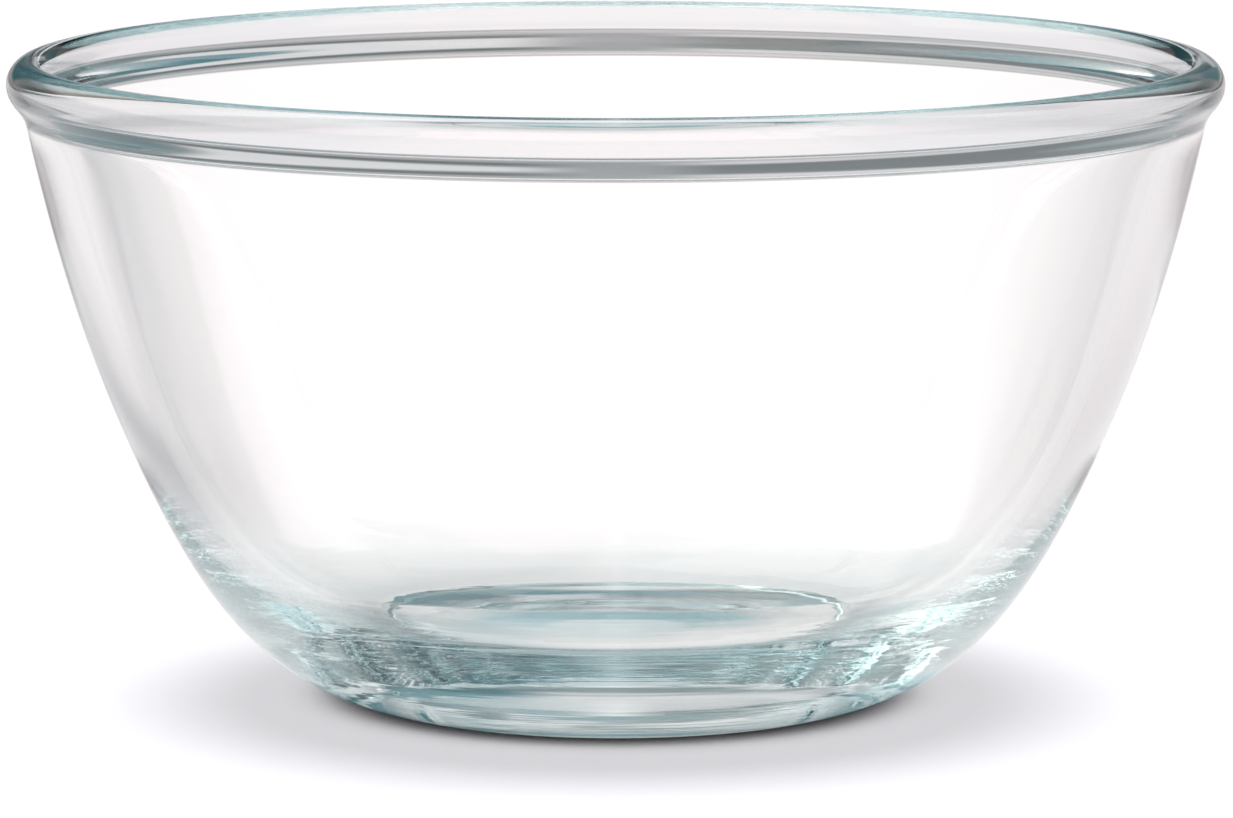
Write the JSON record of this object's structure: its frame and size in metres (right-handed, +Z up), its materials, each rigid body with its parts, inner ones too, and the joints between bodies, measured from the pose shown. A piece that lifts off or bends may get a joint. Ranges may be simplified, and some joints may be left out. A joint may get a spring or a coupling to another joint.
{
  "type": "mixing bowl",
  "caption": "Round clear glass mixing bowl with a rolled rim, tapering wall, thick dished base and a flat foot ring.",
  "frame": {"origin": "centre of the foot ring's contact plane, on the bowl's axis", "axes": "+Z up along the axis of revolution, from the foot ring to the open mouth; X and Y are equal"},
  "size_m": [0.21, 0.21, 0.1113],
  "materials": {
    "clear_glass": "clear pressed glass, fire-polished gloss, colourless through the thin wall and teal through long paths in the rim and the thick base"
  },
  "bodies": {
    "root": {"glass_bowl": "clear_glass"}
  },
  "joints": []
}
